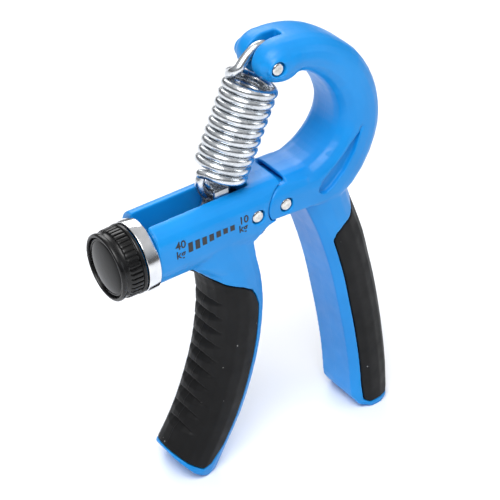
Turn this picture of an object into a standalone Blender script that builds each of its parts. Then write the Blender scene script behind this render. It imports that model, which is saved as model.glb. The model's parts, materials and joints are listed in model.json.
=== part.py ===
"""Adjustable hand grip strengthener, built as an assembly.

Two blue moulded handles turn on one steel pivot pin. The front moulding carries a barrel with
an adjusting screw, a knob and a carriage; the rear moulding rises into a curved arm. An
extension spring hooks over a pin in the arm's forked tip and under a pin in the carriage.

Lengths are written in millimetres in the pivot frame: the origin is on the pivot's axis,
+X points to the rear handle, +Y away from the printed side, +Z up. place() turns them into
the world frame in metres, with the feet on the ground and the box centred over the origin.
"""

import math

import bmesh
import bpy
from mathutils import Matrix, Vector

# ---------------------------------------------------------------- driving dimensions (mm)
MM = 0.001
GAP = 0.3                     # clearance between pieces that touch
FOOT_DROP = 88.2              # pivot axis down to the ground

# barrel of the front moulding
BARREL_TILT = math.radians(3.8)   # the barrel climbs towards the pivot
BARREL_HALF = 10.25           # half of the barrel's width
BARREL_TOP = 11.0             # screw axis up to the flat top
BARREL_SIDE = 5.0             # screw axis up to where the shoulders start
BARREL_ROUND = 6.0            # radius of the shoulders
BARREL_LENGTH = 43.1          # ring edge to the end above the pivot
AXIS_TO_PIVOT = (43.6, 2.95)  # pivot seen from the ring edge, along and above the screw axis
SLOT_HALF = 4.4
SLOT_LENGTH = 34.2
SLOT_FLOOR = -6.0             # floor of the channel, seen from the screw axis

# pivot
LUG_RADIUS = 6.2
LUG_BOTTOM = -3.5
LUG_THICKNESS = 4.0
PIN_RADIUS = 2.0              # shaft of each steel pin
PIN_SINK = 0.25               # pin face below the moulding's side

# arm and its forked tip
ARM_HALF = BARREL_HALF - 0.05
ARM_ROUND = 6.3
TIP_PIN = (-2.65, 44.4)
TIP_CENTRE = (0.5, 44.5)      # centre of the rounded tip
TIP_RADIUS = 6.4
TIP_STRETCH = 1.19            # the tip is longer than it is high
TIP_ROUND = 6.0
TIP_BOSS = PIN_RADIUS + 1.1                # radius of the boss round the tip pin
TIP_BOSS_HALF = ARM_HALF - 0.83          # half width over the bosses
FORK_HALF = 1.75              # half width of the slot for the spring's hook
FORK_DEPTH = 6.2              # how far the slot runs past the tip pin
ROOT_GAP = 2.0                # open joint between the barrel's end and the arm

# handles
INNER_HALF = 7.6              # half width of a handle at its flat inner face
HANDLE_HALF = 10.0            # half width of a handle at its middle
GRIP_THICKNESS = 2.2
FRONT_RIM = 2.5               # blue rim left beside the front grip
REAR_RIM = 3.5

# collar, knob and screw
COLLAR_RADIUS = 11.0
COLLAR_LENGTH = 4.2
SPIGOT_RADIUS = 9.6
KNOB_FLANGE_RADIUS = 10.65
KNOB_RIM_RADIUS = 10.25
KNOB_LENGTH = 8.1
CAP_RADIUS = 8.9
SCREW_RADIUS = 2.9
SCREW_END = 30.2              # end of the screw, seen from the ring edge
BLOCK_SPAN = (28.9, 37.4)     # pocket of the end block along the barrel
BLOCK_TOP = 5.8
THRUST_RADIUS = SLOT_HALF - 0.4   # the thrust collar turns between the slot's walls

# carriage
CARRIAGE_LENGTH = 5.6
CARRIAGE_TOP = 4.6
CARRIAGE_WALL = 1.0
BRIDGE_THICKNESS = 1.2
BRIDGE_FRONT = 2.4            # the bridge reaches this far past the hook's lowest point
BRIDGE_BACK = 0.8

# spring
WIRE_RADIUS = 1.4
COIL_RADIUS = 6.9             # radius of the wire's centre line
COIL_PITCH = 2 * WIRE_RADIUS + 0.13  # the turns all but touch
COIL_TURNS = 10
COIL_START = 6.6              # tip pin to the first turn, along the spring
SPRING_LEAN = math.radians(23.4)  # spring's axis from the vertical
HOOK_RADIUS = 5.2
UPPER_TURNS = 5
LOWER_TURNS = 5.5

FACETS = 32                   # sides of a round piece


# ---------------------------------------------------------------- frame
def turn(dx, dz, angle):
    """A vector in the XZ plane, turned by angle from +X towards +Z."""
    c = math.cos(angle)
    s = math.sin(angle)
    return (dx * c - dz * s, dx * s + dz * c)


def from_barrel(along, up):
    """Barrel coordinates (along the screw axis, above it) as pivot-frame x, z."""
    dx, dz = turn(along - AXIS_TO_PIVOT[0], up - AXIS_TO_PIVOT[1], BARREL_TILT)
    return (dx, dz)


KNOB_FACE = COLLAR_LENGTH + GAP + KNOB_LENGTH
LEFT_END = from_barrel(-KNOB_FACE, KNOB_RIM_RADIUS)[0]
RIGHT_END = 45.0
CENTRE_X = (LEFT_END + RIGHT_END) / 2


def place(x, y, z):
    """Pivot-frame millimetres to world metres."""
    return Vector(((x - CENTRE_X) * MM, y * MM, (z + FOOT_DROP) * MM))


# ---------------------------------------------------------------- scene and materials
for old in list(bpy.data.objects):
    bpy.data.objects.remove(old, do_unlink=True)

PARTS = bpy.data.collections.new("hand_grip_strengthener")
CUTTERS = bpy.data.collections.new("cutters")
bpy.context.scene.collection.children.link(PARTS)
bpy.context.scene.collection.children.link(CUTTERS)


def material(name, colour, roughness, metallic=0.0):
    """A plain Principled material."""
    made = bpy.data.materials.new(name)
    made.use_nodes = True
    shader = made.node_tree.nodes["Principled BSDF"]
    shader.inputs["Base Color"].default_value = (*colour, 1.0)
    shader.inputs["Roughness"].default_value = roughness
    shader.inputs["Metallic"].default_value = metallic
    return made


BLUE = (0.004, 0.27, 0.86)
BLACK = (0.015, 0.015, 0.016)
STEEL = (0.62, 0.62, 0.62)
FINISH = {
    "blue": (BLUE, 0.38, 0.0),
    "rubber": (BLACK, 0.75, 0.0),
    "knob": (BLACK, 0.35, 0.0),
    "steel": (STEEL, 0.25, 1.0),
    "zinc": ((0.72, 0.73, 0.75), 0.22, 1.0),
}


# ---------------------------------------------------------------- modelling helpers
def add_object(name, mesh, finish=None):
    """Link a mesh as a part with its own material, or as a cutter."""
    made = bpy.data.objects.new(name, mesh)
    if finish:
        PARTS.objects.link(made)
        made.data.materials.clear()
        made.data.materials.append(material(name + "_finish", *FINISH[finish]))
    else:
        CUTTERS.objects.link(made)
        made.hide_render = True
        made.display_type = "WIRE"
    return made


def evaluated_mesh(source, weld=0.000001):
    """The evaluated mesh of an object in world space, welded; the object is removed."""
    bpy.context.view_layer.update()
    graph = bpy.context.evaluated_depsgraph_get()
    mesh = bpy.data.meshes.new_from_object(source.evaluated_get(graph))
    mesh.transform(source.matrix_world)
    bpy.data.objects.remove(source, do_unlink=True)
    work = bmesh.new()
    work.from_mesh(mesh)
    bmesh.ops.remove_doubles(work, verts=work.verts, dist=weld)
    bmesh.ops.recalc_face_normals(work, faces=work.faces)
    work.to_mesh(mesh)
    work.free()
    return mesh


def smooth_path(points, steps, closed=False):
    """A Catmull-Rom curve through a few points."""
    count = len(points)
    spans = count if closed else count - 1
    path = []
    for i in range(spans):
        if closed:
            p = [points[(i + k - 1) % count] for k in range(4)]
        else:
            p = [points[min(max(i + k - 1, 0), count - 1)] for k in range(4)]
        for j in range(steps):
            t = j / steps
            path.append(tuple(
                0.5 * (2 * p[1][a] + (p[2][a] - p[0][a]) * t
                       + (2 * p[0][a] - 5 * p[1][a] + 4 * p[2][a] - p[3][a]) * t ** 2
                       + (3 * p[1][a] - p[0][a] - 3 * p[2][a] + p[3][a]) * t ** 3)
                for a in range(len(points[0]))
            ))
    if not closed:
        path.append(tuple(points[-1]))
    return path


def arc(centre, radius, start, end, steps):
    """Points on an arc in degrees."""
    return [
        (centre[0] + radius * math.cos(math.radians(start + (end - start) * i / steps)),
         centre[1] + radius * math.sin(math.radians(start + (end - start) * i / steps)))
        for i in range(steps + 1)
    ]


def plate_mesh(outline, low, high):
    """A flat outline in the XZ plane, thick from y = low to y = high."""
    curve = bpy.data.curves.new("outline", "CURVE")
    curve.dimensions = "2D"
    curve.fill_mode = "BOTH"
    curve.extrude = (high - low) / 2 * MM
    spline = curve.splines.new("POLY")
    spline.points.add(len(outline) - 1)
    for point, (x, z) in zip(spline.points, outline):
        point.co = (x * MM, z * MM, 0, 1)
    spline.use_cyclic_u = True
    made = bpy.data.objects.new("outline", curve)
    CUTTERS.objects.link(made)
    corner = place(0, (low + high) / 2, 0)
    made.matrix_world = Matrix.Translation(corner) @ Matrix.Rotation(math.pi / 2, 4, "X")
    return evaluated_mesh(made)


def cylinder_mesh(start, end, radius, facets=FACETS, cone=None):
    """A cylinder, or a cone, between two pivot-frame points."""
    a = place(*start)
    b = place(*end)
    turned = (b - a).to_track_quat("Z", "Y").to_matrix().to_4x4()
    mesh = bpy.data.meshes.new("cylinder")
    work = bmesh.new()
    bmesh.ops.create_cone(
        work, cap_ends=True, segments=facets, radius1=radius * MM,
        radius2=(radius if cone is None else cone) * MM, depth=(b - a).length,
        matrix=Matrix.Translation((a + b) / 2) @ turned,
    )
    work.to_mesh(mesh)
    work.free()
    return mesh


def across(centre, low, high, radius, facets=FACETS):
    """A cylinder along Y through a point of the XZ plane."""
    return cylinder_mesh((centre[0], low, centre[1]), (centre[0], high, centre[1]), radius, facets)


def along_barrel(start, end, radius, up=0.0, facets=FACETS):
    """A cylinder along the barrel."""
    x0, z0 = from_barrel(start, up)
    x1, z1 = from_barrel(end, up)
    return cylinder_mesh((x0, 0, z0), (x1, 0, z1), radius, facets)


def barrel_block(start, end, half, low, high):
    """A box that is square to the barrel."""
    outline = [from_barrel(s, h) for s, h in ((start, low), (end, low), (end, high), (start, high))]
    return plate_mesh(outline, -half, half)


def turned_mesh(profile):
    """A profile of (along the barrel, radius) turned about the screw axis."""
    mesh = bpy.data.meshes.new("profile")
    verts = [(radius * MM, 0, along * MM) for along, radius in profile]
    edges = [(i, i + 1) for i in range(len(verts) - 1)]
    if profile[0][1] > 0:
        edges.append((len(verts) - 1, 0))
    mesh.from_pydata(verts, edges, [])
    made = bpy.data.objects.new("profile", mesh)
    CUTTERS.objects.link(made)
    screw = made.modifiers.new("turn", "SCREW")
    screw.axis = "Z"
    screw.steps = FACETS
    screw.render_steps = FACETS
    screw.use_merge_vertices = True
    screw.merge_threshold = 0.00001
    x, z = from_barrel(0, 0)
    tilt = Matrix.Rotation(math.pi / 2 - BARREL_TILT, 4, "Y")
    made.matrix_world = Matrix.Translation(place(x, 0, z)) @ tilt
    return evaluated_mesh(made)


def combine(target, operation, meshes):
    """Join or cut an object by closed meshes, each with its own Boolean modifier."""
    for index, mesh in enumerate(meshes):
        tool = add_object(f"{target.name}_{operation.lower()}_{index}", mesh)
        step = target.modifiers.new(f"{operation.lower()}_{index}", "BOOLEAN")
        step.operation = operation
        step.solver = "EXACT"
        step.object = tool
    return target


def combined_mesh(base, operation, meshes):
    """The mesh that is left when base is joined, cut or crossed with meshes."""
    body = combine(add_object("body", base), operation, meshes)
    tools = [step.object for step in body.modifiers]
    mesh = evaluated_mesh(body)
    for tool in tools:
        bpy.data.objects.remove(tool, do_unlink=True)
    return mesh


def rounded(mesh, width, segments=3, angle=40):
    """A mesh with its sharp rim edges rounded."""
    body = add_object("rounded", mesh)
    step = body.modifiers.new("round", "BEVEL")
    step.width = width * MM
    step.segments = segments
    step.limit_method = "ANGLE"
    step.angle_limit = math.radians(angle)
    return evaluated_mesh(body)


# ---------------------------------------------------------------- handle shapes
FRONT_INNER = [(-12.0, -3.0), (-9.9, -10.0), (-8.9, -16.0), (-7.4, -22.5), (-6.5, -32.0), (-7.5, -45.0),
               (-10.4, -58.0), (-14.6, -70.0), (-19.5, -79.5), (-25.2, -90.0)]
FRONT_OUTER = [(-36.5, -6.0), (-31.5, -14.6), (-26.3, -17.8), (-23.9, -23.0), (-23.4, -33.0), (-25.1, -46.5),
               (-28.2, -57.5), (-31.9, -67.5), (-36.2, -76.0), (-42.0, -84.5)]
REAR_INNER = [(6.5, -1.0), (10.3, -9.0), (13.4, -16.0), (16.6, -25.0), (19.4, -34.5),
              (21.7, -44.5), (24.2, -56.0), (26.4, -68.5), (27.6, -79.0), (28.6, -91.0)]
REAR_OUTER = [(26.0, 3.0), (26.6, -4.5), (29.6, -12.5), (33.0, -21.5), (35.4, -30.5),
              (37.8, -39.5), (40.3, -51.0), (42.5, -63.5), (44.2, -76.0), (45.2, -90.0)]
SPAN_STEPS = 2                # stations between two outline points

# a handle's half section: share of the way from inner to outer face, share of the bulge
SECTION = [(0.0, 0.0), (0.0, 1.0), (0.16, 1.0), (0.38, 1.0), (0.60, 0.97), (0.78, 0.83),
           (0.91, 0.58), (0.98, 0.30), (1.0, 0.0)]


def section_width(share, bulge):
    """Half width of a handle at a share of the way out: a flat inner face that swells."""
    swell = min(share / 0.38, 1.0)
    widest = INNER_HALF + (HANDLE_HALF - INNER_HALF) * math.sin(swell * math.pi / 2)
    return widest * bulge


def loft_mesh(rings):
    """A closed loft through rings of pivot-frame points, capped at both ends."""
    work = bmesh.new()
    loops = [[work.verts.new(place(*point)) for point in ring] for ring in rings]
    for low, high in zip(loops, loops[1:]):
        for i in range(len(low)):
            j = (i + 1) % len(low)
            work.faces.new((low[i], low[j], high[j], high[i]))
    work.faces.new(loops[0])
    work.faces.new(loops[-1])
    bmesh.ops.recalc_face_normals(work, faces=work.faces)
    mesh = bpy.data.meshes.new("loft")
    work.to_mesh(mesh)
    work.free()
    return mesh


def mirrored_ring(half):
    """A full ring from its half on the +Y side; the first and last points lie on Y = 0."""
    return half + [(x, -y, z) for x, y, z in reversed(half[1:-1])]


def handle_mesh(inner, outer, inset=0.0):
    """A loft along a handle; inset shrinks its outer and side faces."""
    rings = []
    for a, b in zip(smooth_path(inner, SPAN_STEPS), smooth_path(outer, SPAN_STEPS)):
        reach = math.dist(a, b)
        depth = (reach - inset) / reach
        ring = []
        for share, bulge in SECTION:
            width = max(section_width(share, bulge) - inset * (1 if bulge else 0), 0.0)
            where = share * depth
            ring.append((a[0] + (b[0] - a[0]) * where, width, a[1] + (b[1] - a[1]) * where))
        rings.append(mirrored_ring(ring))
    return loft_mesh(rings)


def offset_edge(inner, outer, rim):
    """The line that lies a rim's width inside a handle's inner edge."""
    line = []
    for a, b in zip(smooth_path(inner, 3), smooth_path(outer, 3)):
        reach = math.dist(a, b)
        line.append((a[0] + (b[0] - a[0]) * rim / reach, a[1] + (b[1] - a[1]) * rim / reach))
    return line


def front_grip_region(grow):
    """Outline, seen from the side, of what the front grip covers."""
    edge = [p for p in offset_edge(FRONT_INNER, FRONT_OUTER, FRONT_RIM - grow) if -82.5 < p[1] < -31]
    top = [(-45.0, -9.5 + grow), (-30.0, -13.9 + grow), (-25.1, -18.7 + grow), (-20.2, -21.6 + grow),
           (-14.9, -23.7 + grow), (-11.7 + grow / 2, -25.9 + grow), (-10.2 + grow, -28.6)]
    bottom = [(-27.0 + grow / 2, -84.0 - grow / 2), (-30.0, -84.3 - grow), (-34.0, -81.6 - grow),
              (-38.5, -77.6 - grow), (-50.0, -68.0 - grow)]
    return top + edge + bottom


FRONT_END_CUT = [(-60.0, -57.0), (-39.5, -76.0), (-37.4, -80.3), (-33.0, -85.2), (-28.5, -FOOT_DROP),
                 (-28.5, -110.0), (-60.0, -110.0)]


def rear_grip_region(grow):
    """Outline, seen from the side, of what the rear grip covers."""
    edge = [p for p in offset_edge(REAR_INNER, REAR_OUTER, REAR_RIM - grow) if -82.5 < p[1] < -21]
    top = [(60.0, -4.0), (26.8, -6.6 + grow), (25.3 - grow / 2, -10.4), (24.3 - grow / 2, -12.9 + grow / 2),
           (21.3 - grow / 2, -14.8 + grow), (19.5 - grow, -16.6 + grow / 2), (18.4 - grow, -19.2)]
    bottom = [(32.2 - grow, -84.8 - grow / 2), (34.0, -86.0 - grow), (60.0, -86.0 - grow)]
    return top + edge + bottom


# ---------------------------------------------------------------- front moulding
def barrel_section(grow=0.0):
    """Half section of the barrel as (width, height) from the bottom to the top."""
    half = BARREL_HALF + grow
    bottom = arc((0, 0), half, -90, 0, 8)
    shoulder = arc((BARREL_HALF - BARREL_ROUND, BARREL_SIDE), BARREL_ROUND + grow, 0, 90, 5)
    return bottom + shoulder


def barrel_mesh(start, end, grow=0.0):
    """The barrel's outer form between two stations."""
    right = barrel_section(grow)
    outline = right + [(-w, h) for w, h in reversed(right[1:])]
    work = bmesh.new()
    x, z = from_barrel(start, 0)
    ring = []
    for width, height in outline:
        x, z = from_barrel(start, height)
        ring.append(work.verts.new(place(x, width, z)))
    face = work.faces.new(ring)
    pushed = bmesh.ops.extrude_face_region(work, geom=[face])
    dx, dz = turn((end - start) * MM, 0, BARREL_TILT)
    moved = [item for item in pushed["geom"] if isinstance(item, bmesh.types.BMVert)]
    bmesh.ops.translate(work, verts=moved, vec=(dx, 0, dz))
    bmesh.ops.recalc_face_normals(work, faces=work.faces)
    mesh = bpy.data.meshes.new("barrel")
    work.to_mesh(mesh)
    work.free()
    return mesh


def lug_outline(grow=0.0, right=8.0):
    """The pivot lug seen from the side: a disc with a flat underside, open to the right."""
    radius = LUG_RADIUS + grow
    floor = LUG_BOTTOM - grow
    start = math.degrees(math.asin(floor / radius))
    return arc((0, 0), radius, 180 - start, 90, 12) + [(right, radius), (right, floor)]


UNDER_LUG = [(40.0, LUG_BOTTOM), (-3.2, LUG_BOTTOM), (-4.2, -4.3), (-6.0, -4.9), (-7.8, -6.1), (-9.0, -7.9),
             (-9.8, -10.1), (-9.5, -13.2), (40.0, -13.2)]
BARREL_PIN = from_barrel(33.6, 2.9)
GROUND_CUT = [(-90.0, -FOOT_DROP - 40), (90.0, -FOOT_DROP - 40), (90.0, -FOOT_DROP), (-90.0, -FOOT_DROP)]


def make_front_handle():
    """Barrel, neck and front handle in one moulding."""
    ear = LUG_THICKNESS + GAP
    tongue = BARREL_HALF - ear
    body = combined_mesh(barrel_mesh(0, BARREL_LENGTH), "UNION", [
        handle_mesh(FRONT_INNER, FRONT_OUTER),
        along_barrel(-COLLAR_LENGTH + GAP, 1, SPIGOT_RADIUS),
        across((0, 0), -tongue - 1, tongue + 1, LUG_RADIUS - 0.5),
    ])
    part = add_object("front_handle", body, "blue")
    side = BARREL_HALF + 5
    grip_seat = combined_mesh(
        plate_mesh(front_grip_region(GAP), -side, side), "DIFFERENCE",
        [handle_mesh(FRONT_INNER, FRONT_OUTER, GRIP_THICKNESS), barrel_mesh(-3, BARREL_LENGTH)])
    return combine(part, "DIFFERENCE", [
        plate_mesh(GROUND_CUT, -20, 20),
        plate_mesh(FRONT_END_CUT, -20, 20),
        plate_mesh(lug_outline(GAP, 12), tongue, side),
        plate_mesh(lug_outline(GAP, 12), -side, -tongue),
        plate_mesh(UNDER_LUG, -side, side),
        barrel_block(0, SLOT_LENGTH, SLOT_HALF, SLOT_FLOOR, BARREL_TOP + 5),
        along_barrel(-COLLAR_LENGTH - 2, 2, SCREW_RADIUS + GAP),
        barrel_block(*BLOCK_SPAN, SLOT_HALF - 0.4, SLOT_FLOOR + 0.6, BLOCK_TOP),
        across((0, 0), -side, side, PIN_RADIUS + GAP),
        across(BARREL_PIN, -side, side, PIN_RADIUS + GAP),
        grip_seat,
    ])


def make_front_grip():
    """Soft grip over the front handle."""
    body = combined_mesh(
        handle_mesh(FRONT_INNER, FRONT_OUTER), "INTERSECT",
        [plate_mesh(front_grip_region(0), -16, 16)])
    part = add_object("front_grip", body, "rubber")
    return combine(part, "DIFFERENCE", [
        handle_mesh(FRONT_INNER, FRONT_OUTER, GRIP_THICKNESS - GAP),
        barrel_mesh(-3, BARREL_LENGTH, GAP),
    ])


# ---------------------------------------------------------------- rear moulding
ARM_INNER = [(1.5, 38.6), (4.6, 39.9), (7.6, 39.5), (11.0, 37.8), (14.6, 34.8), (18.0, 30.4), (20.0, 26.0),
             (20.7, 21.8), (20.0, 17.8), (17.8, 14.0), (14.4, 10.9), (10.8, 8.9), (7.0, 8.0), (-6.0, 8.0)]
ARM_OUTER = [(1.5, 50.9), (4.6, 50.9), (10.0, 50.2), (15.8, 48.4), (21.5, 45.2), (27.2, 40.6),
             (31.5, 34.4), (34.5, 27.2), (35.6, 19.6), (34.7, 12.0), (30.0, 1.5), (21.0, -5.5),
             (8.5, -4.0), (-6.0, LUG_BOTTOM)]
RECESS = [(27.0, 18.4), (24.4, 14.6), (19.6, 9.2), (12.9, 3.3), (11.4, 1.2), (12.2, -0.4),
          (14.0, -0.8), (16.4, 0.6), (20.6, 4.6), (24.2, 10.2)]
RECESS_DEPTH = 1.6
REAR_INNER_CUT = [(15.0, -79.0), (27.5, -79.5), (28.2, -83.0), (30.5, -86.4), (35.0, -FOOT_DROP),
                  (35.0, -110.0), (15.0, -110.0)]
REAR_OUTER_CUT = [(60.0, -80.0), (45.1, -82.0), (44.4, -85.2), (42.0, -87.4), (39.0, -FOOT_DROP),
                  (39.0, -110.0), (60.0, -110.0)]


def arm_ring(inner, outer, share):
    """A rounded rectangle between an inner and an outer point of the arm; share rounds the outer side."""
    reach = math.dist(inner, outer)
    depth = min(ARM_ROUND, reach * 0.47) / ARM_ROUND
    corner = arc((ARM_ROUND, -ARM_ROUND), ARM_ROUND, 180, 90, 4)
    low = [(u * depth, ARM_HALF + y) for u, y in corner]
    high = [(reach - u * depth * share, ARM_HALF + y * share) for u, y in reversed(corner)]
    half = [(0.0, 0.0), *low, *high, (reach, 0.0)]
    dx = (outer[0] - inner[0]) / reach
    dz = (outer[1] - inner[1]) / reach
    return mirrored_ring([(inner[0] + dx * u, y, inner[1] + dz * u) for u, y in half])


def make_rear_handle():
    """Arm, lugs and rear handle in one moulding."""
    pairs = list(zip(smooth_path(ARM_INNER, 2), smooth_path(ARM_OUTER, 2)))
    shares = [1.0] * (len(pairs) - 6) + [0.9, 0.7, 0.4, 0.2, 0.15, 0.15]
    arm = loft_mesh([arm_ring(a, b, share) for (a, b), share in zip(pairs, shares)])
    tip = rounded(across(TIP_CENTRE, -ARM_HALF + 0.1, ARM_HALF - 0.1, TIP_RADIUS), TIP_ROUND, 5)
    middle = place(TIP_CENTRE[0], 0, TIP_CENTRE[1])
    stretch = Matrix.Scale(TIP_STRETCH, 4, (1, 0, 0))
    tip.transform(Matrix.Translation(middle) @ stretch @ Matrix.Translation(-middle))
    root = BARREL_LENGTH - AXIS_TO_PIVOT[0] + ROOT_GAP
    low, high = [turn(root, z, BARREL_TILT) for z in (-30, 30)]
    arm = combined_mesh(arm, "DIFFERENCE", [plate_mesh([(-40, -30), low, high, (-40, 30)], -20, 20)])
    ears = []
    for side in (-1, 1):
        near, far = sorted((side * (BARREL_HALF - LUG_THICKNESS - 1), side * (BARREL_HALF + 3)))
        ears.append(combined_mesh(plate_mesh(lug_outline(), near, far), "INTERSECT",
                                  [barrel_mesh(20, BARREL_LENGTH + 20)]))
    boss = rounded(across(TIP_PIN, -TIP_BOSS_HALF, TIP_BOSS_HALF, TIP_BOSS), 0.7, 1)
    body = combined_mesh(arm, "UNION", [handle_mesh(REAR_INNER, REAR_OUTER), *ears, tip, boss])
    part = add_object("rear_handle", body, "blue")
    grip_seat = combined_mesh(
        plate_mesh(rear_grip_region(GAP), -16, 16), "DIFFERENCE",
        [handle_mesh(REAR_INNER, REAR_OUTER, GRIP_THICKNESS)])
    hollow = BARREL_HALF - LUG_THICKNESS
    fork = [(-30, 20), (-30, -20), (0, -20), (FORK_DEPTH, -4), (FORK_DEPTH, 20)]
    return combine(part, "DIFFERENCE", [
        plate_mesh(GROUND_CUT, -20, 20),
        plate_mesh(REAR_INNER_CUT, -20, 20),
        plate_mesh(REAR_OUTER_CUT, -20, 20),
        across((0, 0), -hollow, hollow, LUG_RADIUS + 2 * GAP),
        across((0, 0), -20, 20, PIN_RADIUS + GAP),
        across(TIP_PIN, -20, 20, PIN_RADIUS + GAP),
        plate_mesh([(TIP_PIN[0] + x, TIP_PIN[1] + z) for x, z in fork], -FORK_HALF, FORK_HALF),
        plate_mesh(RECESS, ARM_HALF - RECESS_DEPTH, ARM_HALF + 3),
        plate_mesh(RECESS, -ARM_HALF - 3, RECESS_DEPTH - ARM_HALF),
        grip_seat,
    ])


def make_rear_grip():
    """Soft grip over the rear handle."""
    body = combined_mesh(
        handle_mesh(REAR_INNER, REAR_OUTER), "INTERSECT",
        [plate_mesh(rear_grip_region(0), -16, 16)])
    part = add_object("rear_grip", body, "rubber")
    return combine(part, "DIFFERENCE", [handle_mesh(REAR_INNER, REAR_OUTER, GRIP_THICKNESS - GAP)])


# ---------------------------------------------------------------- pins
def make_pin(name, centre, half=BARREL_HALF - PIN_SINK):
    """A steel pin across the whole width."""
    return add_object(name, across(centre, -half, half, PIN_RADIUS, 24), "steel")


# ---------------------------------------------------------------- collar, knob and screw
def make_collar():
    """Polished sleeve on the barrel's spigot."""
    inner = SPIGOT_RADIUS + GAP
    profile = [(-GAP, COLLAR_RADIUS), (-COLLAR_LENGTH, COLLAR_RADIUS), (-COLLAR_LENGTH, inner), (-GAP, inner)]
    return add_object("collar_ring", turned_mesh(profile), "zinc")


def make_knob():
    """Knob body with its rear flange, ribbed band, neck and front rim."""
    back = -COLLAR_LENGTH - GAP
    front = back - KNOB_LENGTH
    profile = [
        (back, KNOB_FLANGE_RADIUS), (back - 1.1, KNOB_FLANGE_RADIUS), (back - 1.1, 10.45),
        (back - 5.0, 10.3), (back - 5.2, 9.9), (back - 6.6, 9.8), (back - 6.8, KNOB_RIM_RADIUS),
        (front, KNOB_RIM_RADIUS - 0.15), (front, CAP_RADIUS + GAP), (front + 1.9, CAP_RADIUS + GAP),
        (front + 1.9, 6.4), (front + 4.6, 6.4), (front + 4.6, SCREW_RADIUS + GAP),
        (back, SCREW_RADIUS + GAP),
    ]
    return add_object("knob_body", turned_mesh(profile), "knob")


def make_knob_cap():
    """Domed cap set in the knob's front."""
    front = -COLLAR_LENGTH - GAP - KNOB_LENGTH
    seat = front + 1.9 - GAP
    dome = [(front + 1.0 - 1.0 * math.cos(math.radians(a)), CAP_RADIUS * math.sin(math.radians(a)))
            for a in (90, 72, 54, 36, 18)]
    return add_object("knob_cap", turned_mesh([(seat, 0.0), (seat, CAP_RADIUS), *dome, (front, 0.0)]), "knob")


def make_screw():
    """Threaded rod with its thrust collar."""
    front = -COLLAR_LENGTH - GAP - KNOB_LENGTH
    profile = [
        (SCREW_END, 0.0), (SCREW_END, SCREW_RADIUS), (1.6, SCREW_RADIUS), (1.6, THRUST_RADIUS),
        (GAP, THRUST_RADIUS), (GAP, SCREW_RADIUS), (front + 2.6, SCREW_RADIUS), (front + 2.6, 0.0),
    ]
    return add_object("adjusting_screw", turned_mesh(profile), "steel")


def make_knob_nut():
    """Hexagon nut that clamps the knob to the screw."""
    front = -COLLAR_LENGTH - GAP - KNOB_LENGTH
    x0, z0 = from_barrel(front + 4.6 - GAP, 0)
    x1, z1 = from_barrel(front + 2.6, 0)
    part = add_object("knob_nut", cylinder_mesh((x0, 0, z0), (x1, 0, z1), 5.7, 6), "steel")
    return combine(part, "DIFFERENCE", [along_barrel(front, front + 6, SCREW_RADIUS + GAP)])


def make_end_block():
    """Block that carries the far end of the screw, held by the barrel's pin."""
    start, end = BLOCK_SPAN
    half = SLOT_HALF - 0.4 - GAP
    block = barrel_block(start + GAP, end - GAP, half, SLOT_FLOOR + 0.6 + GAP, BLOCK_TOP - GAP)
    part = add_object("end_block", block, "steel")
    return combine(part, "DIFFERENCE", [
        along_barrel(start - 2, SCREW_END + GAP, SCREW_RADIUS + GAP),
        across(BARREL_PIN, -9, 9, PIN_RADIUS + GAP),
    ])


# ---------------------------------------------------------------- carriage
SPRING_DIRECTION = (-math.sin(SPRING_LEAN), -math.cos(SPRING_LEAN))
COIL_END = COIL_START + COIL_TURNS * COIL_PITCH
LOWER_HOOK = COIL_END + 1.9   # tip pin to the centre of the lower hook


def on_spring(distance, side=0.0):
    """A point of the XZ plane, measured down the spring's axis and to its right."""
    dx, dz = SPRING_DIRECTION
    return (TIP_PIN[0] + dx * distance - dz * side, TIP_PIN[1] + dz * distance + dx * side)


def to_barrel(x, z):
    """Pivot-frame x, z as barrel coordinates."""
    dx, dz = turn(x, z, -BARREL_TILT)
    return (dx + AXIS_TO_PIVOT[0], dz + AXIS_TO_PIVOT[1])


SEAT = to_barrel(*on_spring(LOWER_HOOK + HOOK_RADIUS - WIRE_RADIUS))


def make_carriage():
    """Threaded carriage with the bridge that the spring's lower hook pulls on."""
    along, up = SEAT
    half = SLOT_HALF - GAP
    bridge = up + GAP + 0.6
    top = bridge + BRIDGE_THICKNESS
    start = along - CARRIAGE_LENGTH / 2
    end = along + CARRIAGE_LENGTH / 2
    floor = SLOT_FLOOR + GAP
    side = [(start, floor), (end, floor), (end, top), (along - BRIDGE_BACK - 1.0, top),
            (along - BRIDGE_BACK - 1.0, CARRIAGE_TOP + 1.5), (start, CARRIAGE_TOP)]
    window = [(along - 9, CARRIAGE_TOP - 0.2), (along + 9, CARRIAGE_TOP - 0.2), (along + 9, bridge + 9),
              (along + BRIDGE_FRONT, bridge + 9), (along + BRIDGE_FRONT, bridge),
              (along - BRIDGE_BACK, bridge), (along - BRIDGE_BACK, bridge + 9), (along - 9, bridge + 9)]
    body = plate_mesh([from_barrel(*p) for p in side], -half, half)
    part = add_object("carriage", body, "zinc")
    inner = half - CARRIAGE_WALL
    return combine(part, "DIFFERENCE", [
        plate_mesh([from_barrel(*p) for p in window], -inner, inner),
        along_barrel(start - 1, end + 1, SCREW_RADIUS + GAP),
    ])


# ---------------------------------------------------------------- spring
def wire(name, points):
    """A round wire through world points."""
    curve = bpy.data.curves.new(name, "CURVE")
    curve.dimensions = "3D"
    curve.bevel_depth = WIRE_RADIUS * MM
    curve.bevel_resolution = 2
    curve.use_fill_caps = True
    spline = curve.splines.new("POLY")
    spline.points.add(len(points) - 1)
    for point, co in zip(spline.points, points):
        point.co = (*co, 1)
    made = bpy.data.objects.new(name + "_path", curve)
    CUTTERS.objects.link(made)
    return add_object(name, evaluated_mesh(made), "zinc")


def wire_point(distance, side, y):
    """A point of the wire: down the spring's axis, to its right, and away from the printed side."""
    x, z = on_spring(distance, side)
    return place(x, y, z)


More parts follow.
